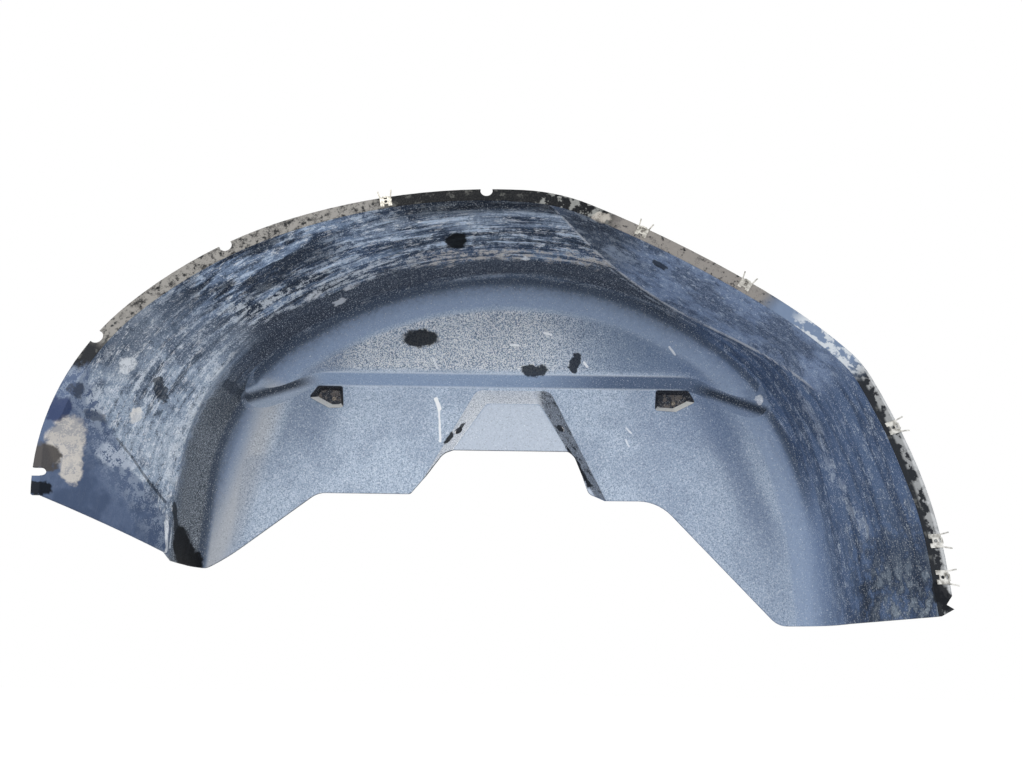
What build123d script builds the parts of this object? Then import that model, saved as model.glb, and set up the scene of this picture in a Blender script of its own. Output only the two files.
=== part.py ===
import os
from math import radians, tan

from build123d import *

# Wheel arch liner: one moulded shell with a rim flange, and six pressed spring clips on the flange.
# X runs along the car, Z is up, and the wheel is on the -Y side. The origin lies midway between the
# two wall screws, on the plane where the screw pockets seat against the body.
# Distances in front of that plane, towards the wheel, are positive.

# Moulded wall
wall = 3.0
arch_depth = 225.0
back_radius = 50.0

# Rim flange: outline points from the left foot over the crown to the right foot
flange_width = 17.0
rim_left_foot = (-494.0, -190.0)
rim_left_haunch = (-430.0, 25.0)
rim_left_shoulder = (-258.0, 140.0)
rim_crown = (22.0, 185.5)
rim_right_shoulder = (104.0, 166.0)
rim_right_haunch = (302.0, 54.0)
rim_right_corner = (390.0, -20.0)
rim_right_side = (412.0, -53.0)
rim_right_knee = (441.5, -136.0)
rim_right_foot = (459.0, -250.0)
foot_level = -360.0
rim_left_lean = 10.0

# Deep barrel at the inner wall, which spreads to the right towards the rim
barrel_left_spring = (-397.0, -135.0)
barrel_left_shoulder = (-300.0, 64.0)
barrel_crown = (22.0, 170.0)
barrel_right_shoulder = (300.0, 68.0)
barrel_right_haunch = (405.0, -100.0)
barrel_right_spring = (420.0, -230.0)
barrel_haunch_spread = 8.0
barrel_spring_spread = 24.0

# Left flare, from inside the flange to the barrel
flare_depth = 140.0
flare_foot = (-389.0, -135.0)
flare_haunch = (-354.0, -9.0)
flare_shoulder = (-295.0, 57.0)
flare_crown = (22.0, 152.0)

# Flat heel panel at the lower left, which runs out to the rim without a flange
heel_depth = 140.0
heel_rim_low = (-462.0, foot_level)
heel_rim_top = (-492.0, -140.0)
heel_rim_blend = (-448.0, -40.0)
heel_deep_low = (-409.0, foot_level)
heel_deep_top = (-369.0, -119.0)
heel_deep_blend = (-346.0, -40.0)
heel_inside = -330.0

# Upper right facet, which leans out from the rim to the barrel
facet_depth = 185.0
facet_lean = 34.0

# Ledge across the wall, with the lower panel set back behind it
ledge_level = 30.0
ledge_step = 17.0
ledge_height = 15.0
ledge_half = 270.0
ledge_fall = 31.0
ledge_radius = 80.0
panel_relief = 1.0

# Raised bump in the middle of the lower panel: its foot outline and its face
bump_center = 14.0
bump_height = 30.0
bump_foot_top = 11.0
bump_foot_top_half = 53.0
bump_foot_low_left = 166.0
bump_foot_low_right = 154.0
bump_foot_radius = 16.0
bump_face_top = -19.0
bump_face_top_half = 37.0
bump_face_low_left = 158.0
bump_face_low_right = 142.0
bump_face_radius = 12.0
bump_edge_radius = 6.0
bump_low = -200.0
bump_hole_diameter = 11.0
bump_holes = [(-62.0, -54.0), (80.0, -50.0)]

# Screw pockets in the lower panel, with corners measured outwards from the screw
screw_spacing = 492.0
screw_hole_diameter = 7.0
pocket_depth = 14.0
pocket_draft = 6.0
pocket_lean = 4.0
left_pocket_corners = [(-14.0, 15.0), (22.0, 15.0), (33.0, -3.0), (3.0, -19.0), (-18.0, -18.0)]
right_pocket_corners = [(-27.0, 15.0), (20.0, 15.0), (29.0, -3.0), (0.0, -18.0), (-30.0, -16.0)]
pocket_corner_radius = 4.0

# Lower edge of the wall and of the heel panel
trim_left_corner = (-385.0, -246.5)
trim_flat_left = (-253.0, -141.0)
trim_foot_left = (-126.0, -141.0)
trim_bump_left = (-82.0, -86.0)
trim_bump_right = (97.0, -86.0)
trim_foot_right = (117.0, -147.0)
trim_flat_right = (214.0, -146.5)
trim_right_corner = (362.0, -308.0)
trim_corner_radii = [10.0, 30.0, 6.0, 14.0, 14.0, 12.0, 60.0, 26.0]
heel_trim_rim = -197.0
heel_trim_run = 150.0

# Notches along the flange edge, each at a share of one stretch of the edge, and the slot in the heel
notch_radius = 7.5
notch_inset = 2.0
notch_stations = {1: 0.78, 2: 0.61, 3: 0.843}
slot_level = -173.0
slot_width = 9.0
slot_depth = 8.0

# Barbed end of the flange at the right foot
barb_rise = 7.0
barb_height = 13.0
barb_depth = 7.0

# Spring clips pushed on the flange
clip_stations = [(3, 0.41), (5, 0.31), (5, 0.91), (8, 0.68), (9, 0.85), (10, 0.18)]
clip_width = 14.0
clip_length = 13.0
clip_back_length = 9.0
clip_gauge = 0.8
clip_clearance = 0.3
clip_hole_diameter = 3.6
clip_notch_width = 5.0
clip_notch_depth = 3.0
clip_bridge_width = 7.0
clip_horn_length = 9.0
clip_horn_width = 1.6
clip_horn_splay = 2.0
clip_slot_width = 4.0
clip_slot_height = 2.0

upper_wall = wall + pocket_depth + ledge_step
lower_wall = wall + pocket_depth
rim = upper_wall + arch_depth
overshoot = 10.0
barrel_straight = upper_wall + back_radius + overshoot
beyond = 800.0


def front(distance):
    """Plane across the car at a distance in front of the seat, with X and Z as its own axes."""
    return Plane.XZ.offset(distance)


def run_on(edge, points):
    """Tangent arcs from the end of an edge through the given points."""
    edges = [edge]
    for point in points:
        edges.append(TangentArc(edges[-1] @ 1, point, tangent=edges[-1] % 1))
    return edges


def inward(edge, distance, share=1):
    """Point at a distance inside a rim edge, at its end or at a share of its length."""
    travel = edge % share
    return edge @ share + Vector(travel.Y, -travel.X) * distance


rim_left_low = rim_left_foot[0] + (rim_left_foot[1] - foot_level) * tan(radians(rim_left_lean))
with BuildLine() as rim_line:
    rim_edges = run_on(
        Line((rim_left_low, foot_level), rim_left_foot),
        [
            rim_left_haunch, rim_left_shoulder, rim_crown, rim_right_shoulder, rim_right_haunch,
            rim_right_corner, rim_right_side, rim_right_knee, rim_right_foot,
        ],
    )
    rim_edges.append(Line(rim_edges[-1] @ 1, (rim_right_foot[0], foot_level)))
    rim_bottom = Line(rim_edges[-1] @ 1, rim_edges[0] @ 0)


def barrel_face(distance, grow, spread):
    haunch = (barrel_right_haunch[0] + barrel_haunch_spread * spread, barrel_right_haunch[1])
    spring = (barrel_right_spring[0] + barrel_spring_spread * spread, barrel_right_spring[1])
    with BuildSketch(front(distance)) as face:
        with BuildLine():
            left = Line((barrel_left_spring[0], foot_level), barrel_left_spring)
            arcs = run_on(left, [barrel_left_shoulder, barrel_crown, barrel_right_shoulder, haunch, spring])
            Polyline(arcs[-1] @ 1, (spring[0], foot_level), left @ 0)
        make_face()
        if grow:
            offset(amount=grow, kind=Kind.INTERSECTION)
    return face.sketch


def barrel_start(back, grow):
    """Straight start of the barrel, rounded along the wall at its back."""
    with BuildPart() as body:
        extrude(barrel_face(back, grow, 0), amount=barrel_straight - back)
        back_face = body.faces().sort_by(Axis.Y)[-1]
        fillet(back_face.edges().sort_by(Axis.Z)[1:], radius=back_radius + grow)
    return body.part


def barrel(grow, reach):
    """Deep barrel, which spreads from its straight start to its reach at the front."""
    spread = (reach - barrel_straight) / (rim - barrel_straight)
    with BuildPart() as body:
        add(barrel_start(upper_wall - grow, grow))
        loft([barrel_face(barrel_straight, grow, 0), barrel_face(reach, grow, spread)], ruled=True)
    return body.part


def flare_face(distance, points, grow):
    with BuildSketch(front(distance)) as face:
        with BuildLine():
            foot = Line(points[0], points[1])
            arcs = run_on(foot, points[2:])
            end = arcs[-1] @ 1
            Polyline(end, (end.X, foot_level), foot @ 0)
        make_face()
        if grow:
            offset(amount=grow, kind=Kind.INTERSECTION)
    return face.sketch


def flare(grow, reach):
    deep_line = [(flare_foot[0], foot_level), flare_foot, flare_haunch, flare_shoulder, flare_crown]
    deep_points = [Vector(*point) for point in deep_line]
    rim_points = [inward(rim_edges[0], flange_width, 0)]
    rim_points += [inward(edge, flange_width) for edge in rim_edges[:4]]
    stretch = 1 + (reach - rim) / flare_depth
    near_points = [deep + (near - deep) * stretch for near, deep in zip(rim_points, deep_points)]
    near_face = flare_face(reach, near_points, grow)
    deep_face = flare_face(rim - flare_depth, deep_points, grow)
    with BuildPart() as body:
        loft([near_face, deep_face], ruled=True)
    return body.part


def heel_face(distance, points, grow):
    with BuildSketch(front(distance)) as face:
        with BuildLine():
            Polyline(*points, (heel_inside, points[-1].Y), (heel_inside, foot_level), close=True)
        make_face()
        if grow:
            offset(amount=grow, kind=Kind.INTERSECTION)
    return face.sketch


def heel(grow, reach):
    rim_points = [Vector(*point) for point in (heel_rim_low, heel_rim_top, heel_rim_blend)]
    deep_points = [Vector(*point) for point in (heel_deep_low, heel_deep_top, heel_deep_blend)]
    stretch = 1 + (reach - rim) / heel_depth
    near_points = [deep + (near - deep) * stretch for near, deep in zip(rim_points, deep_points)]
    near_face = heel_face(reach, near_points, grow)
    deep_face = heel_face(rim - heel_depth, deep_points, grow)
    with BuildPart() as body:
        loft([near_face, deep_face], ruled=True)
    return body.part


def facet_face(distance, inset):
    crown = rim_edges[3]
    start = inward(crown, inset)
    with BuildSketch(front(distance)) as face:
        with BuildLine():
            lead = Line(start - (crown % 1) * flange_width, start)
            arcs = run_on(lead, [inward(edge, inset) for edge in rim_edges[4:10]])
            end = arcs[-1] @ 1
            foot = (end.X, foot_level)
            Polyline(end, foot, (beyond, foot_level), (beyond, beyond), ((lead @ 0).X, beyond), lead @ 0)
        make_face()
    return face.sketch


def facet(grow, reach):
    """What the upper right facet takes off the barrel."""
    near_inset = flange_width + facet_lean * (reach - rim) / facet_depth
    near_face = facet_face(reach, near_inset - grow)
    deep_face = facet_face(rim - facet_depth, flange_width - facet_lean - grow)
    with BuildPart() as body:
        loft([near_face, deep_face], ruled=True)
    return body.part


def ledge_face(distance, lift):
    level = ledge_level + lift + (distance - upper_wall) * ledge_height / ledge_step
    side_level = level - (beyond - ledge_half) * tan(radians(ledge_fall))
    with BuildSketch(front(distance)) as face:
        with BuildLine():
            line = FilletPolyline(
                (-beyond, side_level), (-ledge_half, level), (ledge_half, level), (beyond, side_level),
                radius=ledge_radius,
            )
            Polyline(line @ 1, (beyond, beyond), (-beyond, beyond), line @ 0)
        make_face()
    return face.sketch


def lower_panel(grow):
    """The set-back panel under the ledge, which ends inside the barrel."""
    with BuildPart() as above_ledge:
        loft([ledge_face(-overshoot, grow), ledge_face(barrel_straight + overshoot, grow)], ruled=True)
    with BuildPart() as body:
        add(barrel_start(lower_wall - grow, grow - panel_relief))
        add(above_ledge.part, mode=Mode.SUBTRACT)
    return body.part


def bump_outline(distance, grow):
    rise = (distance - lower_wall) / bump_height
    top = bump_foot_top + (bump_face_top - bump_foot_top) * rise
    top_half = bump_foot_top_half + (bump_face_top_half - bump_foot_top_half) * rise
    low_left = bump_foot_low_left + (bump_face_low_left - bump_foot_low_left) * rise
    low_right = bump_foot_low_right + (bump_face_low_right - bump_foot_low_right) * rise
    with BuildSketch(front(distance)) as face:
        with BuildLine():
            Polyline(
                (bump_center - low_left, bump_low), (bump_center - top_half, top),
                (bump_center + top_half, top), (bump_center + low_right, bump_low), close=True,
            )
        make_face()
        corners = face.vertices().group_by(Axis.Y)[-1]
        fillet(corners, radius=bump_foot_radius + (bump_face_radius - bump_foot_radius) * rise)
        if grow:
            offset(amount=-grow, kind=Kind.INTERSECTION)
    return face.sketch


def bump(grow):
    with BuildPart() as body:
        top = lower_wall + bump_height - grow
        loft([bump_outline(-overshoot, grow), bump_outline(top, grow)], ruled=True)
        fillet(body.faces().sort_by(Axis.Y)[0].edges(), radius=bump_edge_radius - grow)
    return body.part


def pocket_face(distance, corners, grow):
    """Section of a pocket, which narrows and leans up towards its floor."""
    depth_share = (lower_wall - distance) / pocket_depth
    inset = pocket_draft * depth_share
    lift = pocket_lean * depth_share
    with BuildSketch(front(distance)) as face:
        with BuildLine():
            Polyline(*[(x, z + lift) for x, z in corners], close=True)
        make_face()
        if grow != inset:
            offset(amount=grow - inset, kind=Kind.INTERSECTION)
        fillet(face.vertices(), radius=pocket_corner_radius)
    return face.sketch


def pocket(side, grow):
    outline = left_pocket_corners if side < 0 else right_pocket_corners
    corners = [(side * (screw_spacing / 2 + x), z) for x, z in outline]
    with BuildPart() as body:
        loft(
            [pocket_face(lower_wall + wall, corners, grow), pocket_face(wall - grow, corners, grow)],
            ruled=True,
        )
    return body.part


def wheel_space(grow, reach):
    """The space inside the liner, grown by a wall's thickness for its outer skin."""
    with BuildPart() as space:
        add(barrel(grow, reach))
        add(lower_panel(grow))
        add(bump(grow), mode=Mode.SUBTRACT)
        add(pocket(-1, grow))
        add(pocket(1, grow))
        add(flare(grow, reach))
        add(heel(grow, reach))
        add(facet(grow, reach), mode=Mode.SUBTRACT)
    return space.part


with BuildPart() as liner_shell:
    add(wheel_space(wall, rim))
    with BuildSketch(front(rim - wall)):
        add(rim_line.line)
        make_face()
    extrude(amount=wall)
    add(wheel_space(0, rim + overshoot), mode=Mode.SUBTRACT)

    # Lower edge of the wall, and the heel panel's own edge, which falls towards the wall
    with BuildSketch(front(-overshoot)):
        with BuildLine():
            line = FilletPolyline(
                (-beyond, trim_left_corner[1]), trim_left_corner, trim_flat_left, trim_foot_left,
                trim_bump_left, trim_bump_right, trim_foot_right, trim_flat_right, trim_right_corner,
                (beyond, trim_right_corner[1]), radius=trim_corner_radii,
            )
            Polyline(line @ 1, (beyond, -beyond), (-beyond, -beyond), line @ 0)
        make_face()
    extrude(amount=rim + 3 * overshoot, mode=Mode.SUBTRACT)
    with BuildSketch(Plane.YZ.offset(-beyond)):
        with BuildLine():
            Polyline(
                (-rim, heel_trim_rim), (-rim + heel_trim_run, trim_left_corner[1]),
                (-rim + heel_trim_run, -beyond), (-2 * rim, -beyond), (-2 * rim, heel_trim_rim), close=True,
            )
        make_face()
    extrude(amount=beyond + barrel_left_spring[0] + back_radius, mode=Mode.SUBTRACT)

    # Notches in the flange edge, the open slot in the heel and the barbed right end
    with BuildSketch(front(rim + overshoot)):
        for stretch, share in notch_stations.items():
            with Locations(inward(rim_edges[stretch], notch_inset, share)):
                Circle(notch_radius)
        with Locations((heel_rim_top[0] + slot_depth - slot_width / 2, slot_level)):
            Circle(slot_width / 2)
            Rectangle(2 * slot_width, slot_width, align=(Align.MAX, Align.CENTER))
        with BuildLine():
            barb = rim_right_foot[0]
            barb_level = trim_right_corner[1] + barb_rise
            Polyline(
                (barb, barb_level + barb_height), (barb - barb_depth, barb_level + barb_height / 3),
                (barb, barb_level), (barb - 2 * barb_depth, trim_right_corner[1]),
                (barb + barb_depth, trim_right_corner[1]), (barb + barb_depth, barb_level + barb_height),
                close=True,
            )
        make_face()
    extrude(amount=-(overshoot + flange_width), mode=Mode.SUBTRACT)

    # Screw holes in the pockets and the holes in the bump's sides
    with BuildSketch(front(-overshoot)):
        with GridLocations(screw_spacing, 0, 2, 1):
            Circle(screw_hole_diameter / 2)
        with Locations(bump_holes):
            Circle(bump_hole_diameter / 2)
    extrude(amount=lower_wall + bump_height + 2 * overshoot, mode=Mode.SUBTRACT)
liner_shell.part.label = "liner_shell"


def spring_clip(stretch, share):
    """Pressed clip folded over the flange edge, with a holed front leg, a back leg and two horns."""
    place = rim_edges[stretch] @ share
    travel = rim_edges[stretch] % share
    seat = Plane(origin=(place.X, -rim, place.Y), x_dir=(travel.X, 0, travel.Y), z_dir=(0, -1, 0))
    half = clip_width / 2
    fold = clip_clearance + clip_gauge
    with BuildPart() as clip:
        with BuildSketch(seat):
            Rectangle(clip_width, clip_length, align=(Align.CENTER, Align.MAX))
            for side in (-1, 1):
                with BuildLine():
                    Polyline(
                        (side * half, -fold), (side * (half + clip_horn_splay), clip_horn_length),
                        (side * (half + clip_horn_splay - clip_horn_width), clip_horn_length),
                        (side * (half - clip_horn_width), -fold), close=True,
                    )
                make_face()
            Rectangle(clip_bridge_width, fold, align=(Align.CENTER, Align.MIN))
            with Locations((0, -clip_length)):
                Rectangle(
                    clip_notch_width, clip_notch_depth, align=(Align.CENTER, Align.MIN), mode=Mode.SUBTRACT
                )
            with Locations((0, -clip_length / 2)):
                Circle(clip_hole_diameter / 2, mode=Mode.SUBTRACT)
            with Locations((0, -clip_slot_height)):
                Rectangle(clip_slot_width, clip_slot_height, mode=Mode.SUBTRACT)
        extrude(amount=clip_gauge)
        with BuildSketch(seat):
            with Locations((0, clip_clearance)):
                Rectangle(clip_bridge_width, clip_gauge, align=(Align.CENTER, Align.MIN))
        extrude(amount=-wall - clip_gauge)
        with BuildSketch(seat.offset(-wall)):
            with Locations((0, fold)):
                Rectangle(clip_bridge_width, clip_back_length + fold, align=(Align.CENTER, Align.MAX))
        extrude(amount=-clip_gauge)
    return clip.part


os.makedirs("parts", exist_ok=True)
export_step(liner_shell.part, "parts/liner_shell.step")
for number, (stretch, share) in enumerate(clip_stations, start=1):
    clip = spring_clip(stretch, share)
    clip.label = f"spring_clip_{number}"
    export_step(clip, f"parts/{clip.label}.step")
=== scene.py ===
import math
from functools import partial

import bpy
from mathutils import Matrix, Vector


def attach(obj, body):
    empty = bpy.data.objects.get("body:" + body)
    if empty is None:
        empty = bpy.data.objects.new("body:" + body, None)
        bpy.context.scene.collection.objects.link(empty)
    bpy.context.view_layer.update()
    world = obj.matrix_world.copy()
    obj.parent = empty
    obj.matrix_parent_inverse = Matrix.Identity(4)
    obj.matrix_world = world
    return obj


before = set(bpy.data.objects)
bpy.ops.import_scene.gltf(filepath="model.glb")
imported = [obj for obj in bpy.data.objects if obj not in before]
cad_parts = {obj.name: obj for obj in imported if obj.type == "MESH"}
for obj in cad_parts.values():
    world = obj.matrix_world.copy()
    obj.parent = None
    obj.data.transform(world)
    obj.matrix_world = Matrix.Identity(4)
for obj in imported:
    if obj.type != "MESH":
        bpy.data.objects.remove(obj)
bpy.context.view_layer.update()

bpy.ops.object.select_all(action="DESELECT")
scene = bpy.context.scene
scene.view_settings.view_transform = "Standard"


# sRGB hex to the linear colour that a node socket takes
def linear(hexColour):
    parts = [int(hexColour[i:i + 2], 16) / 255 for i in (1, 3, 5)]
    return [c / 12.92 if c <= 0.04045 else ((c + 0.055) / 1.055) ** 2.4 for c in parts] + [1.0]


# pattern scale per metre, from a feature size in millimetres
def perMetre(millimetres):
    return 1000.0 / millimetres


# adds one node with its settings and links, and hands back one of its outputs
def addNode(tree, kind, inputs=None, out=0, **settings):
    made = tree.nodes.new("ShaderNode" + kind)
    for name, value in settings.items():
        setattr(made, name, value)
    for socket, value in (inputs or {}).items():
        if isinstance(value, bpy.types.NodeSocket):
            tree.links.new(value, made.inputs[socket])
        else:
            made.inputs[socket].default_value = value
    return made.outputs[out] if len(made.outputs) else made


# an empty material and its node adder
def startMaterial(name):
    made = bpy.data.materials.new(name)
    made.use_nodes = True
    made.node_tree.nodes.clear()
    return made, partial(addNode, made.node_tree)


# camera of the photograph, in metres and degrees
photoCamera = {
    "place": Vector((0.011, -1.059, -0.358)),
    "pitch": 20.0,        # looks up into the arch
    "roll": 0.8,
    "focalPixels": 768.0,
    "imageWidth": 1023.0,
    "sensorWidth": 36.0,
}

cameraData = bpy.data.cameras.new("photoCamera")
cameraData.sensor_fit = "HORIZONTAL"
cameraData.sensor_width = photoCamera["sensorWidth"]
cameraData.lens = photoCamera["focalPixels"] / photoCamera["imageWidth"] * photoCamera["sensorWidth"]
cameraObject = bpy.data.objects.new("photoCamera", cameraData)
scene.collection.objects.link(cameraObject)
lookUp = Matrix.Rotation(math.radians(90 + photoCamera["pitch"]), 4, "X")
leanOver = Matrix.Rotation(math.radians(photoCamera["roll"]), 4, "Z")
cameraObject.matrix_world = Matrix.Translation(photoCamera["place"]) @ lookUp @ leanOver
scene.camera = cameraObject
print("camera placed")


# pale floor, far below the part because the camera looks up from under it
floorSet = {"level": -0.65, "size": 14.0, "colour": "#e8e8e8", "lift": 0.75}

bpy.ops.mesh.primitive_plane_add(size=floorSet["size"], location=(0, 0, floorSet["level"]))
floor = bpy.context.object
floor.name = "floor"
floorMaterial, add = startMaterial("paleFloor")
paint = add("BsdfDiffuse", {"Color": linear(floorSet["colour"])})
seen = add("LightPath", out="Is Camera Ray")
mirrored = add("LightPath", out="Is Glossy Ray")
lift = add("Math", {0: seen, 1: mirrored}, operation="MAXIMUM")
lift = add("Math", {0: lift, 1: floorSet["lift"]}, operation="MULTIPLY")
glow = add("Emission", {"Strength": lift})
add("OutputMaterial", {"Surface": add("AddShader", {0: paint, 1: glow})})
floor.data.materials.append(floorMaterial)

# white sky to the eye, softer and a little blue as a light
skyLight = {"colour": "#f2f6ff", "strength": 0.55}

world = bpy.data.worlds.new("studio")
scene.world = world
world.use_nodes = True
world.node_tree.nodes.clear()
add = partial(addNode, world.node_tree)
direct = add("LightPath", out="Is Camera Ray")
mirrored = add("LightPath", out="Is Glossy Ray")
through = add("LightPath", out="Is Transmission Ray")
shown = add("Math", {0: direct, 1: mirrored}, operation="MAXIMUM")
shown = add("Math", {0: shown, 1: through}, operation="MAXIMUM")
soft = add("Background", {"Color": linear(skyLight["colour"]), "Strength": skyLight["strength"]})
white = add("Background", {"Color": linear("#ffffff"), "Strength": 1.0})
add("OutputWorld", {"Surface": add("MixShader", {0: shown, 1: soft, 2: white})})

# soft lamps, each aimed at the middle of the wall
lampSet = {
    "aim": Vector((0.0, -0.05, -0.02)),
    "key": {"place": (-0.75, -1.7, 0.75), "size": 1.5, "watts": 26.0, "colour": "#fffaf2"},
    "fill": {"place": (0.9, -1.6, -0.2), "size": 1.4, "watts": 7.0, "colour": "#eef4ff"},
    "back": {"place": (0.3, 1.6, 1.1), "size": 1.4, "watts": 16.0, "colour": "#f4f8ff"},
}

for lampName in ("key", "fill", "back"):
    lamp = lampSet[lampName]
    lampData = bpy.data.lights.new(lampName, "AREA")
    lampData.size = lamp["size"]
    lampData.energy = lamp["watts"]
    lampData.color = linear(lamp["colour"])[:3]
    lampObject = bpy.data.objects.new(lampName, lampData)
    scene.collection.objects.link(lampObject)
    lampObject.location = lamp["place"]
    lampObject.rotation_euler = (lampSet["aim"] - Vector(lamp["place"])).to_track_quat("-Z", "Y").to_euler()
print("stage and lamps set")


# zinc plated spring steel, bright and slightly patchy with road dust
zinc = {
    "clean": "#bcbab3",
    "dull": "#67655f",
    "metallic": 0.75,              # dust hides a part of the metal
    "roughness": (0.32, 0.62),     # from clean to dull
    "patchMm": 5.0,
    "patchDetail": 4.0,
    "dulled": (0.42, 0.68),        # range of the patches from clean to dull
    "grainMm": 0.8,
    "grainDetail": 2.0,
    "relief": 0.25,
    "reliefMm": 0.2,
}


def zincPlated():
    made, add = startMaterial("zincPlatedSteel")
    place = add("TexCoord", out="Object")
    patches = add("TexNoise", {"Vector": place, "Scale": perMetre(zinc["patchMm"]),
                               "Detail": zinc["patchDetail"]})
    grain = add("TexNoise", {"Vector": place, "Scale": perMetre(zinc["grainMm"]),
                             "Detail": zinc["grainDetail"]})
    cleanAt, dullAt = zinc["dulled"]
    worn = add("MapRange", {"Value": patches, "From Min": cleanAt, "From Max": dullAt})
    colour = add("Mix", {0: worn, 6: linear(zinc["clean"]), 7: linear(zinc["dull"])}, out=2,
                 data_type="RGBA")
    relief = add("Bump", {"Height": grain, "Strength": zinc["relief"], "Distance": zinc["reliefMm"] / 1000})
    smoothest, roughest = zinc["roughness"]
    rough = add("MapRange", {"Value": patches, "To Min": smoothest, "To Max": roughest})
    shader = add("BsdfPrincipled", {"Base Color": colour, "Metallic": zinc["metallic"], "Roughness": rough,
                                    "Normal": relief})
    add("OutputMaterial", {"Surface": shader})
    return made


clipNames = [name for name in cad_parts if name.startswith("spring_clip")]
clipSteel = zincPlated()
for name in clipNames:
    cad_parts[name].data.materials.clear()
    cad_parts[name].data.materials.append(clipSteel)
print("clips plated", len(clipNames))


# moulded polypropylene, dark and slightly glossy, under dried road dust, with painted highlights and
# painted shade laid into its colour
polypropylene = {
    "plastic": "#262d37",
    "shine": 0.08,                        # dust breaks up most of the reflection
    "bareRoughness": 0.5,
    "dustRoughness": 0.85,
    "dustBrightness": (0.02, 0.25),       # from bare plastic to full dust
    "edgeMm": 1.6,                        # rounding that the light sees on the moulded edges
    "edgeSamples": 4,
    "relief": 0.35,
    "reliefMm": 0.8,
    "wheelCentre": (0.0, -0.6, -0.3),     # faces that look towards it are the inside
    "archCentre": (0.01, -0.25),          # x and z of the barrel's middle
    "archRadius": 0.42,
    "patternRoughness": 0.62,             # how much of its fine detail a dust pattern shows
    "dragDistortion": 0.4,                # how much a dragged pattern swirls
    "waverMm": 9.0,                       # how the outline of a stain wavers
    "waverDetail": 2.0,
    "waverReachMm": 14.0,
    "scratchMm": 5.5,                     # thinner lines than this keep nearly straight
    "scratchWaver": 0.15,
    # stains and painted shades alike begin and are full at these shares of their reach
    "stainOrShadeEdge": (1.15, 0.85),            # where a stain begins and is full, in shares of its reach
    "stainGaps": ("blotch", 0.56, 0.5),   # where a broken stain is missing
}

# lines across the moulding in millimetres and degrees, each with how it bends and where it starts
linerLines = {
    "dustLine": {"middle": 95.0, "bend": 0.024, "start": 96.0},             # of the roof, by the angle
    "crease": {"middle": 250.0, "bend": 0.0045, "start": 88.0},             # of the facet, by x
    "rightRim": {"middle": -270.0, "bend": 0.000998, "start": -459.0},      # of the flange, by z
    "heelFold": {"slope": 1.234, "start": 375.0},
    "ledge": {"slope": 0.882, "straight": 270.0, "bend": 40.0, "endSlope": 0.6, "start": 30.0},
    "bumpMiddle": 14.0,
}

# dust patterns by the size of their features in millimetres, long and wide where the tyre dragged them
# a folded pattern is near 0 on thin winding lines
dustPatterns = {
    "streak": {"size": (85.0, 7.5), "detail": 6.0, "folded": False},
    "band": {"size": (170.0, 20.0), "detail": 4.0, "folded": False},
    "thread": {"size": (60.0, 7.5), "detail": 4.0, "folded": True},
    "fleck": {"size": (18.0, 4.5), "detail": 3.0, "folded": False},
    "cloud": {"size": (80.0,), "detail": 4.0, "folded": False},
    "mottle": {"size": (13.0,), "detail": 6.0, "folded": False},
    "lump": {"size": (9.0,), "detail": 2.0, "folded": False},
    "fray": {"size": (6.0,), "detail": 5.0, "folded": False},
    "grain": {"size": (1.6,), "detail": 1.0, "folded": False},     # coarser than dust, so that it shows
}

# mixtures of the patterns by their shares, frayed lines of the moulding, and slanting lines across it
dustAndLightMixtures = {
    "drag": {"streak": 0.6, "mottle": 0.15, "fray": 0.2, "grain": 0.12},
    "smear": {"cloud": 0.5, "mottle": 0.5},
    "flareDust": {"streak": 0.45, "mottle": 0.2, "fray": 0.25, "grain": 0.2},
    "blotch": {"mottle": 0.6, "fray": 0.2, "grain": 0.3},
    "spatter": {"fleck": 0.6, "grain": 0.5},
    "roughEdge": {"edge": 1.0, "fray": 50.0, "cloud": 60.0},
    "roughFacet": {"facet": 1.0, "fray": 10.0},
    "roughHeel": {"heel": 1.0, "fray": 30.0},
    "roughStrip": {"y": 1.0, "fray": 30.0, "mottle": 40.0},
    "roughTurn": {"ny": 1.0, "grain": 0.5, "fray": 0.3},
    "leftGleam": {"x": 1.0, "z": -0.22},
    "rightShade": {"x": 1.0, "z": 0.35},
    "rightFoot": {"x": 1.0, "z": -1.0},
    "ledgeLine": {"y": 1.0, "offMiddle": 0.19, "x": -0.0075},
}

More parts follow.
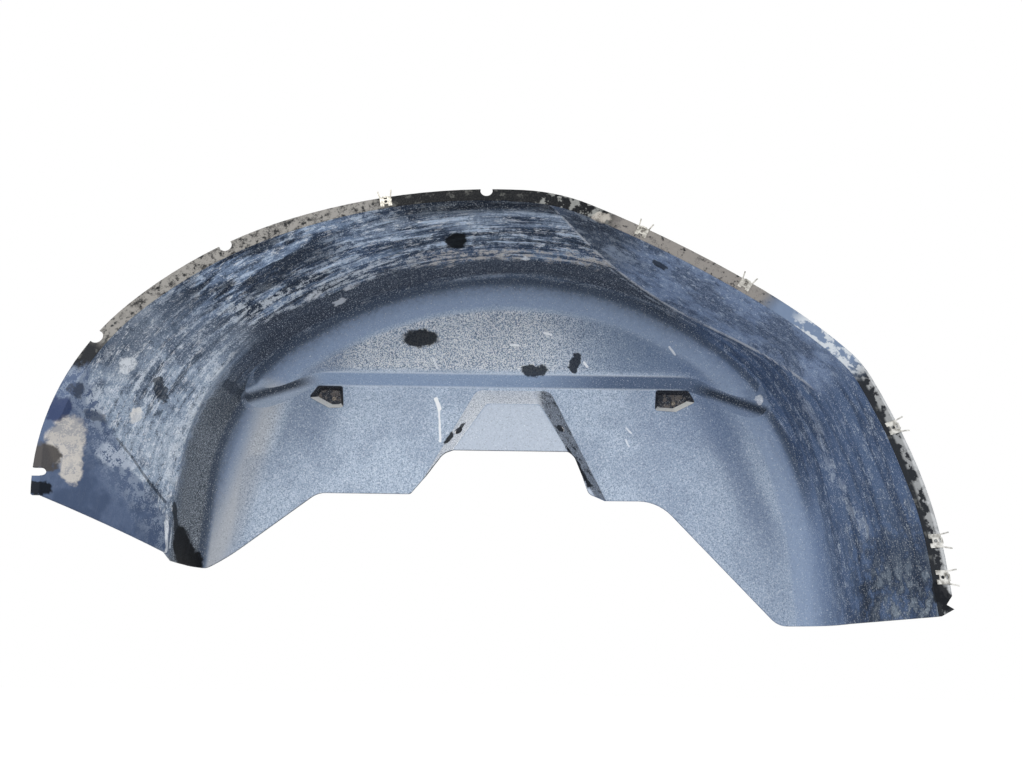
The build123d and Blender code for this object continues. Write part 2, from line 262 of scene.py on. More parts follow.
# zones of the moulding, each where all its fields have reached their second value
# a zone other than the back is on the inside as well
dustAndLightZones = {
    "inside": [("inward", 0.0, 0.04)],
    "wall": [("ny", -0.93, -0.995), ("y", -75, -60)],
    "upperWall": [("ny", -0.97, -0.995), ("z", 31, 40), ("y", -31, -33)],
    "fillet": [("roughTurn", 0.05, -0.55), ("y", -100, -80)],
    "filletTop": [("ny", -0.3, -0.45), ("ny", -0.66, -0.5), ("y", -100, -80)],
    "leftFillet": [("ny", -0.6, -0.7), ("y", -80, -60)],
    "roof": [("ny", -0.66, -0.5), ("angle", 50, 62), ("angle", 153, 138), ("y", -60, -80)],
    "flare": [("ny", -0.8, -0.7), ("roughStrip", -66, -106), ("x", -220, -320), ("z", 60, -20)],
    "heel": [("x", -370, -400), ("roughHeel", 24, 8), ("y", -120, -140)],
    "strip": [("ny", -0.8, -0.2), ("x", -300, -360), ("z", 15, -50), ("roughStrip", -104, -62)],
    "ridge": [("z", -170, -140), ("x", -330, -360), ("y", -146, -141), ("y", -128, -135)],
    "right": [("ny", -0.98, -0.75), ("angle", 60, 46)],
    "facet": [("ny", -0.62, -0.45), ("roughFacet", 9, 1), ("angle", 88, 80), ("angle", 26, 32)],
    "crease": [("ny", -0.62, -0.45), ("angle", 86, 80), ("angle", 28, 34)],
    "ledge": [("ledge", 36, 33), ("ledge", 24, 27), ("nz", -0.3, -0.5), ("y", -55, -50)],
    "ledgeEdges": [("ledge", 31.8, 30.6), ("ledge", 28.2, 29.4), ("offMiddle", 270, 250)],
    "bumpFace": [("y", -44, -46.5), ("ny", -0.9, -0.98), ("z", 20, 0)],
    "bumpSide": [("fromBump", 178, 170), ("z", 17, 13), ("nz", -0.2, 0.1), ("ny", -0.92, -0.86),
                 ("y", -60, -55)],
    "pocket": [("y", -16.8, -15.8), ("z", -30, -26), ("z", 28, 24)],
    "flange": [("ny", -0.9, -0.97), ("y", -257, -258)],
    "back": [("inward", 0.02, -0.02)],
}

# dust, bare patches, dirt, painted highlights and painted shade in the order in which they lie on the
# moulding
linerLayers = [
    # thin film all over the inside
    {"zone": "inside", "tint": "#4d5968", "share": 0.5, "where": [("cloud", 0.3, 0.65)]},
    # roof, dragged streaks on dark plastic
    {"zone": "roof", "tint": "#4b5b74", "share": 0.9, "where": []},
    {"zone": "roof", "tint": "#8296b0", "share": 0.8, "where": [("band", 0.49, 0.62)]},
    {"zone": "roof", "tint": "#94a2b3", "share": 0.6,
     "where": [("edge", -150, -138), ("edge", -95, -108), ("angle", 120, 108), ("streak", 0.38, 0.52)]},
    {"zone": "roof", "tint": "#161b23", "share": 0.5,
     "where": [("edge", -104, -94), ("edge", -50, -62), ("angle", 116, 106)]},
    {"zone": "roof", "tint": "#c2d2e4", "share": 0.85, "where": [("drag", 0.53, 0.62)]},
    {"zone": "roof", "tint": "#0c1119", "share": 0.6, "where": [("drag", 0.525, 0.44)]},
    {"zone": "roof", "tint": "#eef1f3", "share": 0.8,
     "where": [("thread", 0.02, 0.006), ("mottle", 0.46, 0.54)]},
    {"zone": "roof", "tint": "#1f2733", "share": 0.85, "where": [("angle", 114, 126), ("band", 0.6, 0.43)]},
    {"zone": "roof", "tint": "#10141a", "share": 0.85, "where": [("y", -224, -246), ("angle", 118, 104)]},
    # shaded strip of the roof behind the tyre's reach, and the dust line in front of it
    {"zone": "roof", "tint": "#3a414d", "share": 0.95, "where": [("roughEdge", 26, 46)]},
    {"zone": "roof", "tint": "#a6b0c0", "share": 0.55,
     "where": [("roughEdge", 26, 46), ("grain", 0.58, 0.7)]},
    {"zone": "roof", "tint": "#c3bbb0", "share": 0.8,
     "where": [("roughEdge", 0, 12), ("roughEdge", 46, 34), ("angle", 62, 70), ("angle", 116, 104),
               ("drag", 0.5, 0.57), ("blotch", 0.51, 0.58)]},
    {"zone": "roof", "tint": "#c6cdd3", "share": 0.8,
     "where": [("roughEdge", -6, 10), ("roughEdge", 48, 34), ("angle", 102, 114), ("drag", 0.51, 0.58),
               ("blotch", 0.5, 0.57)]},
    # flared side, dragged film with white threads
    {"zone": "flare", "tint": "#9dadc0", "share": 0.88, "where": []},
    {"zone": "flare", "tint": "#3a475b", "share": 0.7, "where": [("cloud", 0.53, 0.42)]},
    {"zone": "flare", "tint": "#a9b5c2", "share": 0.6, "where": [("cloud", 0.5, 0.6)]},
    {"zone": "flare", "tint": "#d2dae2", "share": 0.85, "where": [("flareDust", 0.55, 0.65)]},
    {"zone": "flare", "tint": "#252d39", "share": 0.65, "where": [("flareDust", 0.54, 0.45)]},
    {"zone": "flare", "tint": "#2f3b4d", "share": 0.65, "where": [("y", -200, -238), ("z", -80, -20)]},
    {"zone": "flare", "tint": "#f0f2f4", "share": 0.6,
     "where": [("thread", 0.022, 0.006), ("lump", 0.44, 0.54)]},
    # strip between the flare and the wall
    {"zone": "strip", "tint": "#70777e", "share": 0.92, "where": []},
    {"zone": "strip", "tint": "#b3b8bd", "share": 0.65, "where": [("grain", 0.5, 0.62)]},
    {"zone": "strip", "tint": "#22272d", "share": 0.6, "where": [("grain", 0.48, 0.36)]},
    {"zone": "strip", "tint": "#2f353e", "share": 0.55, "where": [("z", -90, -30), ("y", -125, -85)]},
    {"zone": "ridge", "tint": "#dfe4e7", "share": 0.5, "where": [("blotch", 0.52, 0.6)]},
    # right side of the barrel, blue film with pale specks, dark towards its foot
    {"zone": "right", "tint": "#55698a", "share": 0.9, "where": []},
    {"zone": "right", "tint": "#1b263a", "share": 0.5, "where": [("band", 0.55, 0.37)]},
    {"zone": "right", "tint": "#627694", "share": 0.45, "where": [("band", 0.5, 0.66)]},
    {"zone": "right", "tint": "#b9c5d3", "share": 0.6,
     "where": [("spatter", 0.57, 0.68), ("mottle", 0.44, 0.58)]},
    {"zone": "right", "tint": "#d5dde5", "share": 0.35,
     "where": [("thread", 0.016, 0.004), ("mottle", 0.5, 0.58)]},
    {"zone": "right", "tint": "#181d25", "share": 0.75,
     "where": [("z", -130, -280), ("y", -90, -140), ("smear", 0.43, 0.54)]},
    {"zone": "right", "tint": "#8f9ca9", "share": 0.65,
     "where": [("z", -230, -275), ("y", -140, -170), ("mottle", 0.46, 0.64)]},
    # painted bluish sheen on the barrel near the wall, carrying the corner's painted highlight onto it
    {"zone": "right", "tint": "#7d90ad", "share": 0.6,
     "where": [("z", -90, -200), ("roughStrip", -72, -15)]},
    # facet of the right side, black near the crown, then a blue film with white specks
    {"zone": "facet", "tint": "#8598b7", "share": 0.92, "where": []},
    {"zone": "facet", "tint": "#2a3549", "share": 0.55, "where": [("cloud", 0.54, 0.42)]},
    {"zone": "facet", "tint": "#a4b4c9", "share": 0.45, "where": [("blotch", 0.53, 0.65)]},
    {"zone": "facet", "tint": "#d3dde8", "share": 0.7, "where": [("fray", 0.58, 0.68), ("x", 420, 260)]},
    {"zone": "facet", "tint": "#1f2835", "share": 0.4, "where": [("blotch", 0.53, 0.42)]},
    {"zone": "facet", "tint": "#14181e", "share": 0.75, "where": [("x", 190, 120)]},
    {"zone": "facet", "tint": "#848d98", "share": 0.7, "where": [("x", 190, 120), ("mottle", 0.51, 0.59)]},
    {"zone": "crease", "tint": "#c6c9cc", "share": 0.75,
     "where": [("facet", -4, -1), ("facet", 5, 1), ("drag", 0.46, 0.56)]},
    {"zone": "crease", "tint": "#aab3bf", "share": 0.5,
     "where": [("facet", 8, 10), ("facet", 15, 12), ("drag", 0.5, 0.58)]},
    # painted bluish highlight over a film of dust on the round corner between roof and wall, with painted
    # shade on its upper part and beside the left highlight
    {"zone": "fillet", "tint": "#93a5bf", "share": 0.9, "where": []},
    # painted shade on the corner's upper part, fading out towards the right foot
    {"zone": "filletTop", "tint": "#3f4a5b", "share": 0.7, "where": [("rightFoot", 620, 470)]},
    # painted shade on the left corner, beside the painted highlight
    {"zone": "fillet", "tint": "#4f555b", "share": 0.7,
     "where": [("leftGleam", -348, -374), ("z", 10, -40)]},
    # wall panels, with a painted highlight on the left corner and bands of painted shade beside both
    # corners
    {"zone": "wall", "tint": "#a9b8ca", "share": 0.95, "where": []},
    # painted highlight on the left corner between wall and barrel
    {"zone": "leftFillet", "tint": "#bcbfc2", "share": 0.85,
     "where": [("leftGleam", -358, -329), ("leftGleam", -297, -326), ("z", 20, 0)]},
    {"zone": "wall", "tint": "#dbe3eb", "share": 0.4, "where": [("grain", 0.52, 0.64)]},
    {"zone": "wall", "tint": "#66768e", "share": 0.36, "where": [("grain", 0.48, 0.36)]},
    {"zone": "wall", "tint": "#8291a7", "share": 0.35, "where": [("cloud", 0.54, 0.4)]},
    {"zone": "upperWall", "tint": "#dcdcd9", "share": 0.85,
     "where": [("x", 160, 20), ("grain", 0.49, 0.58)]},
    {"zone": "upperWall", "tint": "#4d5a6d", "share": 0.62,
     "where": [("x", 240, 100), ("grain", 0.48, 0.38)]},
    {"zone": "wall", "tint": "#61758f", "share": 0.7, "where": [("z", 30, 40), ("x", 60, 200)]},
    # painted shade band on the wall beside the left highlight
    {"zone": "wall", "tint": "#6b7b93", "share": 0.55,
     "where": [("leftGleam", -310, -292), ("leftGleam", -210, -260), ("z", -120, -50)]},
    {"zone": "wall", "tint": "#62738e", "share": 0.7,
     "where": [("rightShade", 255, 289), ("rightShade", 324, 298), ("z", -250, -150)]},
    {"zone": "wall", "tint": "#6f83a2", "share": 0.55, "where": [("x", 150, 270), ("z", -130, -20)]},
    {"zone": "wall", "tint": "#8193ad", "share": 0.22, "where": [("x", 180, 250), ("z", -60, -120)]},
    # ledge across the wall, darker towards the right, with a painted shadow line along it and painted
    # highlights on its edges
    {"zone": "ledge", "tint": "#8ea1bb", "share": 0.95, "where": []},
    {"zone": "ledge", "tint": "#4b5b75", "share": 0.8, "where": [("x", 30, 170)]},
    {"zone": "ledge", "tint": "#7f90aa", "share": 0.8, "where": [("x", 278, 305)]},
    {"zone": "ledge", "tint": "#a3aebc", "share": 0.8, "where": [("x", -250, -290)]},
    # painted shadow line along the ledge's face
    {"zone": "ledge", "tint": "#232b37", "share": 0.92,
     "where": [("ledgeLine", 18, 26), ("ledgeLine", 37, 29), ("offMiddle", 258, 300)]},
    # painted highlights along the ledge's top and bottom edges
    {"zone": "ledgeEdges", "tint": "#cbd4de", "share": 0.45, "where": [("y", -36, -35), ("y", -32, -33.3)]},
    {"zone": "ledgeEdges", "tint": "#cbd4de", "share": 0.45,
     "where": [("y", -19, -17.8), ("y", -15.5, -16.7)]},
    # bump, its face smooth and its sides dusty, the right side darkened as painted shade and spotted with
    # black dirt
    {"zone": "bumpFace", "tint": "#b6c0cd", "share": 0.95, "where": []},
    {"zone": "bumpSide", "tint": "#ced5de", "share": 0.95, "where": []},
    {"zone": "bumpSide", "tint": "#f2f4f5", "share": 0.7, "where": [("grain", 0.5, 0.62)]},
    {"zone": "bumpSide", "tint": "#7c8592", "share": 0.6, "where": [("grain", 0.48, 0.36)]},
    # painted shade on the bump's right side
    {"zone": "bumpSide", "tint": "#626b77", "share": 0.8, "where": [("x", 45, 60)]},
    {"zone": "bumpSide", "tint": "#aab1ba", "share": 0.7, "where": [("x", 45, 60), ("grain", 0.54, 0.66)]},
    {"zone": "bumpSide", "tint": "#14181d", "share": 0.85,
     "where": [("x", 45, 60), ("blotch", 0.55, 0.46)]},
    # screw pockets, painted dark inside as shade in the recess, with mud on the floor and a painted
    # highlight on the upward-facing lower lip
    {"zone": "pocket", "tint": "#2b2d33", "share": 0.95, "where": []},
    {"zone": "pocket", "tint": "#7d7670", "share": 0.6,
     "where": [("ny", -0.8, -0.95), ("fray", 0.48, 0.6)]},
    # painted highlight on the pocket's upward-facing lower lip
    {"zone": "pocket", "tint": "#f6f6f2", "share": 0.95, "where": [("nz", 0.3, 0.5)]},
    # fine grit over the whole inside
    {"zone": "inside", "tint": "#e6ebef", "share": 0.3, "where": [("grain", 0.58, 0.72)]},
    {"zone": "inside", "tint": "#11161d", "share": 0.28, "where": [("grain", 0.42, 0.28)]},
    {"zone": "inside", "tint": "#f3f6f8", "share": 0.65,
     "where": [("grain", 0.7, 0.78), ("fray", 0.46, 0.6)]},
    # rim flange, bare black and dusty by turns
    {"zone": "flange", "tint": "#0f1114", "share": 0.97, "where": []},
    {"zone": "flange", "tint": "#6f706d", "share": 0.5, "where": [("mottle", 0.54, 0.62)]},
    {"zone": "flange", "tint": "#93918d", "share": 0.9,
     "where": [("angle", 155, 153), ("angle", 109, 113), ("fray", 0.35, 0.5)]},
    {"zone": "flange", "tint": "#26272a", "share": 0.65,
     "where": [("angle", 152, 146), ("angle", 108, 112), ("blotch", 0.57, 0.46)]},
    {"zone": "flange", "tint": "#8d8f8c", "share": 0.8,
     "where": [("angle", 88, 85), ("angle", 73, 76), ("mottle", 0.53, 0.58)]},
    {"zone": "flange", "tint": "#8d8984", "share": 0.9,
     "where": [("angle", 75, 71), ("angle", 42, 46), ("fray", 0.32, 0.45)]},
    {"zone": "flange", "tint": "#4a4a4b", "share": 0.5,
     "where": [("angle", 75, 71), ("angle", 42, 46), ("blotch", 0.53, 0.45)]},
    {"zone": "flange", "tint": "#7687a0", "share": 0.9, "where": [("angle", 46, 42), ("angle", 26, 30)]},
    {"zone": "flange", "tint": "#cbd0d3", "share": 0.85,
     "where": [("angle", 41, 38), ("angle", 26, 29), ("mottle", 0.46, 0.54)]},
    {"zone": "flange", "tint": "#a9abab", "share": 0.7,
     "where": [("angle", 30, 26), ("rimRight", -13, -9), ("mottle", 0.45, 0.52)]},
    {"zone": "flange", "tint": "#d9dbdb", "share": 0.5, "where": [("angle", 30, 26), ("rimRight", -4, -2)]},
    {"zone": "flange", "tint": "#4d5b78", "share": 0.92, "where": [("angle", 159, 162)]},
    # heel, nearly clean
    {"zone": "heel", "tint": "#566580", "share": 0.95, "where": []},
    {"zone": "heel", "tint": "#3f4d66", "share": 0.55, "where": [("cloud", 0.53, 0.43)]},
    {"zone": "heel", "tint": "#a7b3c1", "share": 0.5,
     "where": [("roughHeel", -50, 5), ("blotch", 0.5, 0.6)]},
    # plain back of the moulding
    {"zone": "back", "tint": "#2c3138", "share": 0.85, "where": []},
    {"zone": "back", "tint": "#6d7178", "share": 0.4, "where": [("cloud", 0.48, 0.7)]},
]

# single stains, scrapes, spots and a painted shade in millimetres, from end to end or round a middle, some
# broken up
linerStainsAndShade = [
    # bare plastic on the roof and the upper wall
    {"tint": "#07090c", "share": 0.98, "at": (-65, -171, 165), "reach": (14, 20, 20)},
    {"tint": "#161a20", "share": 0.95, "at": (-121, -34, 84), "reach": (27, 14, 14)},
    {"tint": "#1d232d", "share": 0.93, "at": (44, -34, 36), "reach": (20, 8, 9)},
    {"tint": "#1d232d", "share": 0.93, "from": (99, -34, 40), "to": (105, -34, 56), "half": 7},
    # black and dark lines on the strip and the flare
    {"tint": "#07090c", "share": 0.98, "from": (-398, -96, -222), "to": (-392, -58, -244), "half": 20},
    {"tint": "#0f1318", "share": 0.85, "from": (-399, -128, -186), "to": (-398, -112, -210), "half": 7},
    {"tint": "#1c2027", "share": 0.75, "from": (-413, -188, -46), "to": (-411, -175, -60), "half": 7},
    # patches of the flare and of the flange beside it
    {"tint": "#222a3c", "share": 0.8, "at": (-470, -257, -80), "reach": (9, 9, 9), "broken": 0.6},
    {"tint": "#222a3c", "share": 0.6, "at": (-458, -230, -101), "reach": (9, 16, 7), "broken": 0.3},
    {"tint": "#dfe3e6", "share": 0.85, "at": (-435, -227, -39), "reach": (10, 10, 10), "broken": 0.5},
    {"tint": "#e4e2dd", "share": 0.85, "at": (-432, -193, -88), "reach": (6, 8, 11), "broken": 0.3},
    {"tint": "#b9c2cc", "share": 0.7, "at": (-455, -232, -83), "reach": (16, 16, 14), "broken": 1},
    {"tint": "#cdc8c0", "share": 0.95, "at": (-476, -243, -134), "reach": (18, 22, 29), "broken": 0.4},
    {"tint": "#cdc8c0", "share": 0.95, "at": (-469, -235, -165), "reach": (12, 12, 16), "broken": 0.4},
    {"tint": "#4f4c4a", "share": 0.95, "at": (-488, -256, -156), "reach": (18, 12, 16)},
    {"tint": "#2e3a5c", "share": 0.85, "at": (-484, -257, -103), "reach": (12, 10, 14)},
    {"tint": "#101318", "share": 0.95, "at": (-487, -256, -190), "reach": (15, 10, 8)},
    {"tint": "#c3ccd8", "share": 0.6, "at": (-440, -196, -140), "reach": (26, 26, 12), "broken": 1},
    # fold of the heel
    {"tint": "#1b212b", "share": 0.5, "from": (-443, -203, -120), "to": (-431, -184, -137), "half": 1.5},
    {"tint": "#1b212b", "share": 0.55, "from": (-431, -184, -137), "to": (-417, -164, -161), "half": 1.6},
    {"tint": "#1b212b", "share": 0.6, "from": (-417, -164, -161), "to": (-403, -142, -181), "half": 1.8},
    # scrapes at the foot of the strip
    {"tint": "#e6eaed", "share": 0.9, "from": (-400, -137, -205), "to": (-398, -130, -237),
     "half": 3, "broken": 0.3},
    {"tint": "#dfe4e8", "share": 0.8, "from": (-399, -126, -208), "to": (-398, -122, -232),
     "half": 2, "broken": 0.4},
    # pale clumps on the roof
    {"tint": "#c9cdd2", "share": 0.8, "at": (-229, -95, 111), "reach": (12, 8, 8), "broken": 0.7},
    {"tint": "#c9cdd2", "share": 0.8, "at": (-210, -122, 120), "reach": (14, 7, 8), "broken": 0.7},
    {"tint": "#d4d8dc", "share": 0.8, "at": (-255, -142, 96), "reach": (14, 9, 10), "broken": 0.7},
    {"tint": "#e8ebee", "share": 0.9, "at": (27, -118, 164), "reach": (8, 8, 8), "broken": 0.3},
    # patches of the flange at the crown and the right foot
    {"tint": "#b9b4ab", "share": 0.75, "at": (115, -259, 147), "reach": (12, 6, 8), "broken": 0.5},
    {"tint": "#101318", "share": 0.95, "from": (446, -259, -284), "to": (460, -259, -302), "half": 9},
    # scratches on the lower panel
    {"tint": "#eef1f3", "share": 0.9, "from": (-92, -17, -18), "to": (-88, -17, -66), "half": 1.6},
    {"tint": "#f2f4f5", "share": 0.95, "from": (-97, -17, -3), "to": (-91, -17, -18), "half": 2.8},
    {"tint": "#e3e8ec", "share": 0.8, "from": (174, -17, -43), "to": (181, -17, -50), "half": 1.2},
    {"tint": "#e3e8ec", "share": 0.8, "from": (173, -17, -60), "to": (177, -17, -70), "half": 1.2},
    # scratches on the upper wall
    {"tint": "#eef1f3", "share": 0.85, "from": (58, -34, 95), "to": (68, -34, 92), "half": 2},
    {"tint": "#eef1f3", "share": 0.8, "from": (9, -34, 75), "to": (20, -34, 75), "half": 1.6},
    {"tint": "#eef1f3", "share": 0.8, "from": (115, -34, 50), "to": (119, -34, 43), "half": 1.8},
    {"tint": "#e6eaed", "share": 0.6, "from": (-102, -34, 53), "to": (-96, -34, 38), "half": 1.6},
    {"tint": "#eef1f3", "share": 0.7, "from": (238, -37, 74), "to": (246, -37, 62), "half": 1.6},
    # painted shade at the top of the strip, and a clump on the right corner
    {"tint": "#29303b", "share": 0.55, "from": (-367, -104, -15), "to": (-361, -50, -13), "half": 7},
    {"tint": "#eef1f3", "share": 0.9, "at": (357, -49, -9), "reach": (5, 8, 8), "broken": 0.5},
    # dirt on the sides of the bump
    {"tint": "#101317", "share": 0.95, "at": (-75, -21, -62), "reach": (7, 8, 10)},
    {"tint": "#101317", "share": 0.9, "at": (-58, -31, -47), "reach": (5, 6, 5)},
    {"tint": "#101317", "share": 0.95, "from": (92, -47, -80), "to": (118, -44, -131), "half": 6},
    # faint run down the right side
    {"tint": "#c3cedb", "share": 0.22, "from": (383, -131, -35), "to": (413, -124, -130),
     "half": 11, "broken": 1},
    {"tint": "#c3cedb", "share": 0.22, "from": (413, -124, -130), "to": (427, -156, -204),
     "half": 11, "broken": 1},
    # patches of the facet
    {"tint": "#9aa7b9", "share": 0.6, "at": (149, -182, 141), "reach": (28, 22, 18), "broken": 0.9},
    {"tint": "#121822", "share": 0.85, "at": (194, -211, 111), "reach": (11, 11, 11)},
]


def roadWornPlasticAndPaintedLight():
    made, add = startMaterial("roadWornPolypropyleneAndPaintedLight")
    place = add("TexCoord", out="Object")
    normal = add("NewGeometry", out="Normal")
    ny, nz = [add("SeparateXYZ", {0: normal}, out=i) for i in (1, 2)]
    toWheel = add("VectorMath", {0: polypropylene["wheelCentre"], 1: place}, operation="SUBTRACT")
    inward = add("VectorMath", {0: normal, 1: toWheel}, out="Value", operation="DOT_PRODUCT")

    # the place on the unrolled barrel, for the dragged patterns
    middleX, middleZ = polypropylene["archCentre"]
    across, depth, above = [add("SeparateXYZ", {0: place}, out=i) for i in range(3)]
    across = add("Math", {0: across, 1: middleX}, operation="SUBTRACT")
    above = add("Math", {0: above, 1: middleZ}, operation="SUBTRACT")
    turn = add("Math", {0: above, 1: across}, operation="ARCTAN2")
    along = add("Math", {0: turn, 1: polypropylene["archRadius"]}, operation="MULTIPLY")
    fromAxis = add("CombineXYZ", {0: across, 1: above})
    fromAxis = add("VectorMath", {0: fromAxis}, out="Value", operation="LENGTH")
    unrolled = add("CombineXYZ", {0: along, 1: depth, 2: fromAxis})

    # the place in millimetres, and the angle round the arch in degrees
    inMm = add("VectorMath", {0: place, "Scale": 1000.0}, operation="SCALE")
    x, y, z = [add("SeparateXYZ", {0: inMm}, out=i) for i in range(3)]
    sideways = add("Math", {0: x, 1: middleX * 1000}, operation="SUBTRACT")
    upwards = add("Math", {0: z, 1: middleZ * 1000}, operation="SUBTRACT")
    angle = add("Math", {0: upwards, 1: sideways}, operation="ARCTAN2")
    angle = add("Math", {0: angle}, operation="DEGREES")

    # how far a place lies past a bowed line: behind the dust line of the roof, behind the crease of
    # the facet, and out from the rim of the right flange
    def pastLine(run, line, reach):
        off = add("Math", {0: run, 1: line["middle"]}, operation="SUBTRACT")
        bow = add("Math", {0: off, 1: off}, operation="MULTIPLY")
        bow = add("Math", {0: bow, 1: line["bend"], 2: line["start"]}, operation="MULTIPLY_ADD")
        return add("Math", {0: bow, 1: reach}, operation="ADD")

    edge = pastLine(angle, linerLines["dustLine"], y)
    facet = pastLine(x, linerLines["crease"], y)

    # heel is the height above the fold of the left foot
    fold = linerLines["heelFold"]
    heel = add("Math", {0: y, 1: fold["slope"], 2: fold["start"]}, operation="MULTIPLY_ADD")
    heel = add("Math", {0: heel, 1: z}, operation="ADD")

    # ledge is the height above the sloping step across the wall, which drops at both ends
    shelf = linerLines["ledge"]
    offMiddle = add("Math", {0: x}, operation="ABSOLUTE")
    drop = add("Math", {0: offMiddle, 1: shelf["straight"]}, operation="SUBTRACT")
    drop = add("Math", {0: drop, 1: 0.0, 2: shelf["bend"]}, operation="SMOOTH_MAX")
    ledge = add("Math", {0: y, 1: shelf["slope"], 2: z}, operation="MULTIPLY_ADD")
    ledge = add("Math", {0: drop, 1: shelf["endSlope"], 2: ledge}, operation="MULTIPLY_ADD")
    ledge = add("Math", {0: ledge, 1: shelf["start"]}, operation="ADD")

    fromBump = add("Math", {0: x, 1: linerLines["bumpMiddle"]}, operation="SUBTRACT")
    fromBump = add("Math", {0: fromBump}, operation="ABSOLUTE")
    rimRight = pastLine(z, linerLines["rightRim"], x)

    fields = {"x": x, "y": y, "z": z, "ny": ny, "nz": nz, "inward": inward, "angle": angle, "edge": edge,
              "facet": facet, "heel": heel, "ledge": ledge, "offMiddle": offMiddle, "fromBump": fromBump,
              "rimRight": rimRight}
    for name, pattern in dustPatterns.items():
        size = pattern["size"]
        dragged = len(size) == 2
        scale = [perMetre(size[0])] + [perMetre(size[-1])] * 2
        spread = add("VectorMath", {0: unrolled if dragged else place, 1: scale}, operation="MULTIPLY")
        swirl = polypropylene["dragDistortion"] if dragged else 0.0
        noise = add("TexNoise", {"Vector": spread, "Scale": 1.0, "Detail": pattern["detail"],
                                 "Roughness": polypropylene["patternRoughness"], "Distortion": swirl})
        if pattern["folded"]:
            noise = add("Math", {0: noise, 1: 0.5}, operation="SUBTRACT")
            noise = add("Math", {0: noise}, operation="ABSOLUTE")
        fields[name] = noise
    for name, shares in dustAndLightMixtures.items():
        total = 0.0
        for part, share in shares.items():
            total = add("Math", {0: fields[part], 1: share, 2: total}, operation="MULTIPLY_ADD")
        fields[name] = total

    # how far a field has come from the first value of a limit to the second
    def reached(limit):
        field, zeroAt, fullAt = limit
        return add("MapRange", {"Value": fields[field], "From Min": zeroAt, "From Max": fullAt},
                   interpolation_type="SMOOTHSTEP")

    zones = {}
    for name, limits in dustAndLightZones.items():
        zone = 1.0 if name in ("inside", "back") else zones["inside"]
        for limit in limits:
            zone = add("Math", {0: reached(limit), 1: zone}, operation="MULTIPLY")
        zones[name] = zone

    colour = linear(polypropylene["plastic"])
    for layer in linerLayers:
        cover = layer["share"]
        for step in [reached(limit) for limit in layer["where"]] + [zones[layer["zone"]]]:
            cover = add("Math", {0: step, 1: cover}, operation="MULTIPLY")
        colour = add("Mix", {0: cover, 6: colour, 7: linear(layer["tint"])}, out=2, data_type="RGBA")

    # stains and painted shades are distances in a place that wavers with the dust
    waverScale = 1 / polypropylene["waverMm"]
    waver = add("TexNoise", {"Vector": inMm, "Scale": waverScale, "Detail": polypropylene["waverDetail"]},
                out="Color")
    waver = add("VectorMath", {0: waver, 1: (0.5, 0.5, 0.5)}, operation="SUBTRACT")
    waver = add("VectorMath", {0: waver, "Scale": polypropylene["waverReachMm"]}, operation="SCALE")
    stainOrShadePlace = add("VectorMath", {0: inMm, 1: waver}, operation="ADD")
    slight = [polypropylene["scratchWaver"]] * 3
    scratchPlace = add("VectorMath", {0: waver, 1: slight, 2: inMm}, operation="MULTIPLY_ADD")
    gaps = reached(polypropylene["stainGaps"])
    begins, full = polypropylene["stainOrShadeEdge"]
    for stainOrShade in linerStainsAndShade:
        start = Vector(stainOrShade["at"] if "at" in stainOrShade else stainOrShade["from"])
        scratch = "half" in stainOrShade and stainOrShade["half"] < polypropylene["scratchMm"]
        spot = scratchPlace if scratch else stainOrShadePlace
        away = add("VectorMath", {0: spot, 1: start}, operation="SUBTRACT")
        if "at" in stainOrShade:
            reach = Vector(stainOrShade["reach"])
        else:
            run = Vector(stainOrShade["to"]) - start
            perRun = run / run.length_squared
            share = add("VectorMath", {0: away, 1: perRun}, out="Value", operation="DOT_PRODUCT")
            share = add("Math", {0: share, 1: 1.0}, operation="MULTIPLY", use_clamp=True)
            nearest = add("VectorMath", {0: run, "Scale": share}, operation="SCALE")
            away = add("VectorMath", {0: away, 1: nearest}, operation="SUBTRACT")
            reach = Vector([stainOrShade["half"]] * 3)
        away = add("VectorMath", {0: away, 1: reach}, operation="DIVIDE")
        away = add("VectorMath", {0: away}, out="Value", operation="LENGTH")
        cover = add("MapRange", {"Value": away, "From Min": begins, "From Max": full,
                                 "To Max": stainOrShade["share"]}, interpolation_type="SMOOTHSTEP")
        cover = add("Math", {0: cover, 1: zones["inside"]}, operation="MULTIPLY")
        if "broken" in stainOrShade:
            whole = add("Math", {0: gaps, 1: -stainOrShade["broken"], 2: 1.0}, operation="MULTIPLY_ADD")
            cover = add("Math", {0: cover, 1: whole}, operation="MULTIPLY")
        colour = add("Mix", {0: cover, 6: colour, 7: linear(stainOrShade["tint"])}, out=2, data_type="RGBA")

    # dust is dull, bare plastic shines a little
    bare, dusty = polypropylene["dustBrightness"]
    rough = add("MapRange", {"Value": add("RGBToBW", {0: colour}), "From Min": bare, "From Max": dusty,
                             "To Min": polypropylene["bareRoughness"],
                             "To Max": polypropylene["dustRoughness"]})
    rounded = add("Bevel", {"Radius": polypropylene["edgeMm"] / 1000}, samples=polypropylene["edgeSamples"])
    height = add("Math", {0: fields["mottle"], 1: fields["grain"]}, operation="ADD")
    relief = add("Bump", {"Height": height, "Strength": polypropylene["relief"], "Normal": rounded,
                          "Distance": polypropylene["reliefMm"] / 1000})
    shader = add("BsdfPrincipled", {"Base Color": colour, "Roughness": rough, "Normal": relief,
                                    "Specular IOR Level": polypropylene["shine"]})
    add("OutputMaterial", {"Surface": shader})
    return made


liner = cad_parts["liner_shell"]
liner.data.materials.clear()
liner.data.materials.append(roadWornPlasticAndPaintedLight())
print("liner dressed")


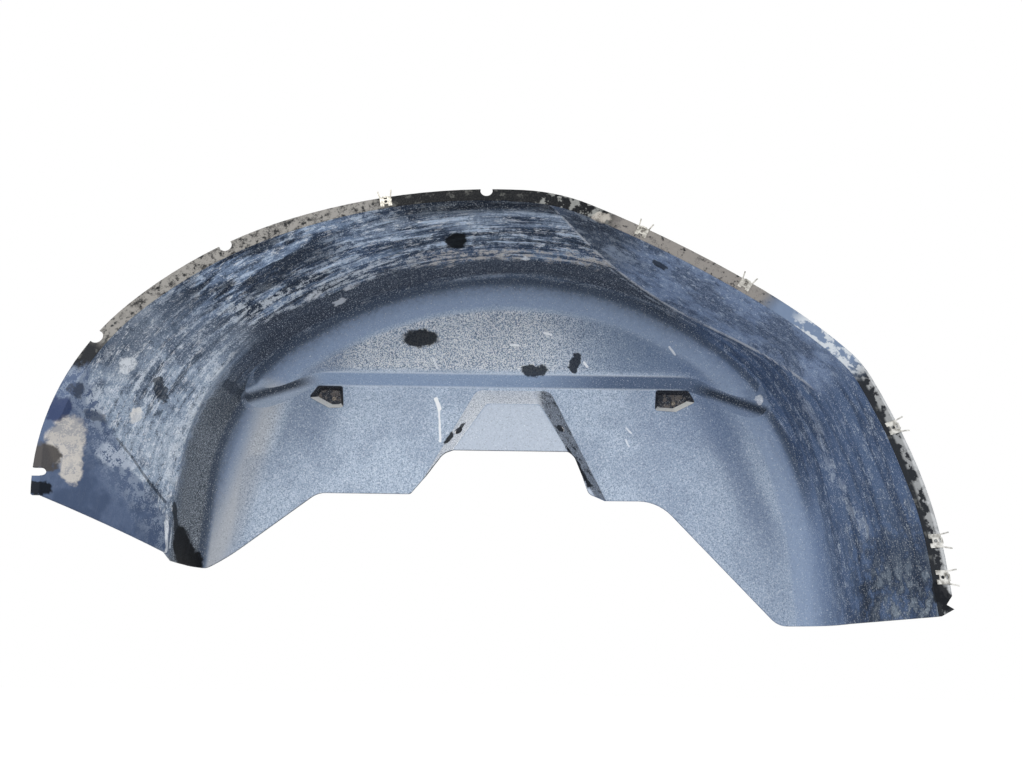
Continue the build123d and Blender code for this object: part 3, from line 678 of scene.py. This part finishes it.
# mud caught in the screw holes and the drain holes, in millimetres
mudClods = {
    "mud_left_screw": {"at": (-246.0, -1.6, 0.0), "facing": (0.0, -1.0, 0.0), "half": (3.6, 3.6, 1.2),
                       "mud": "dried"},
    "mud_right_screw": {"at": (246.0, -1.6, 0.0), "facing": (0.0, -1.0, 0.0), "half": (3.6, 3.6, 1.2),
                        "mud": "dried"},
    "mud_left_drain": {"at": (-61.0, -29.2, -54.6), "facing": (-0.68, -0.61, 0.4), "half": (9.2, 5.7, 1.2),
                       "mud": "nearBlack"},
    "mud_right_drain": {"at": (79.0, -34.4, -50.6), "facing": (0.69, -0.62, 0.37), "half": (9.2, 5.7, 1.2),
                        "mud": "nearBlack"},
}

# road mud, crumbly and dull where it dried, nearly black and less dull in the drain holes
roadMud = {
    "dried": {"light": "#a79e92", "dark": "#3c3833", "roughness": 0.95},
    "nearBlack": {"light": "#23262b", "dark": "#0c0d10", "roughness": 0.6},
    "crumbMm": 1.6,
    "crumbDetail": 4.0,
    "crumbs": (0.38, 0.62),      # range of the crumbs from dark to light
    "relief": 0.5,
    "reliefMm": 0.5,
    "lumpMm": 0.4,
    "lumpUneven": 0.2,
    "lumpOutward": 0.8,
    "roundness": 0.6,
    "smoothing": 0.4,
}


def caughtMud(state):
    made, add = startMaterial(state + "RoadMud")
    mud = roadMud[state]
    dark, light = roadMud["crumbs"]
    place = add("TexCoord", out="Object")
    crumbs = add("TexNoise", {"Vector": place, "Scale": perMetre(roadMud["crumbMm"]),
                              "Detail": roadMud["crumbDetail"]})
    bright = add("MapRange", {"Value": crumbs, "From Min": dark, "From Max": light})
    colour = add("Mix", {0: bright, 6: linear(mud["dark"]), 7: linear(mud["light"])}, out=2,
                 data_type="RGBA")
    relief = add("Bump", {"Height": crumbs, "Strength": roadMud["relief"],
                          "Distance": roadMud["reliefMm"] / 1000})
    shader = add("BsdfPrincipled", {"Base Color": colour, "Roughness": mud["roughness"], "Normal": relief})
    add("OutputMaterial", {"Surface": shader})
    return made


# a clod starts as a ball, pressed flat, made lumpy and set in its hole
def mudClod(name, seed):
    clod = mudClods[name]
    bpy.ops.object.select_all(action="DESELECT")
    bpy.ops.mesh.primitive_ico_sphere_add(subdivisions=3, radius=0.001)
    made = bpy.context.object
    made.name = name
    bpy.ops.object.mode_set(mode="EDIT")
    bpy.ops.mesh.select_all(action="SELECT")
    bpy.ops.transform.resize(value=clod["half"])
    bpy.ops.transform.vertex_random(offset=roadMud["lumpMm"] / 1000, uniform=roadMud["lumpUneven"],
                                    normal=roadMud["lumpOutward"], seed=seed)
    bpy.ops.mesh.subdivide(smoothness=roadMud["roundness"])
    bpy.ops.mesh.vertices_smooth(factor=roadMud["smoothing"])
    bpy.ops.object.mode_set(mode="OBJECT")
    bpy.ops.object.shade_smooth()
    facing = Vector(clod["facing"]).normalized()
    downSlope = Vector((0, 1, 0)) - facing * facing.y
    onSlope = downSlope.length > 0.01      # the screw holes face straight out and have no slope
    lengthwise = downSlope.normalized() if onSlope else Vector((1, 0, 0))
    turn = Matrix((lengthwise, facing.cross(lengthwise), facing)).transposed().to_4x4()
    made.matrix_world = Matrix.Translation(Vector(clod["at"]) / 1000) @ turn
    bpy.ops.object.transform_apply(location=True, rotation=True, scale=True)
    return made


mudMaterials = {state: caughtMud(state) for state in ("dried", "nearBlack")}
for seed, name in enumerate(mudClods):
    clod = mudClod(name, seed)
    clod.data.materials.append(mudMaterials[mudClods[name]["mud"]])
    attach(clod, "root")
print("mud set in the holes", len(mudClods))
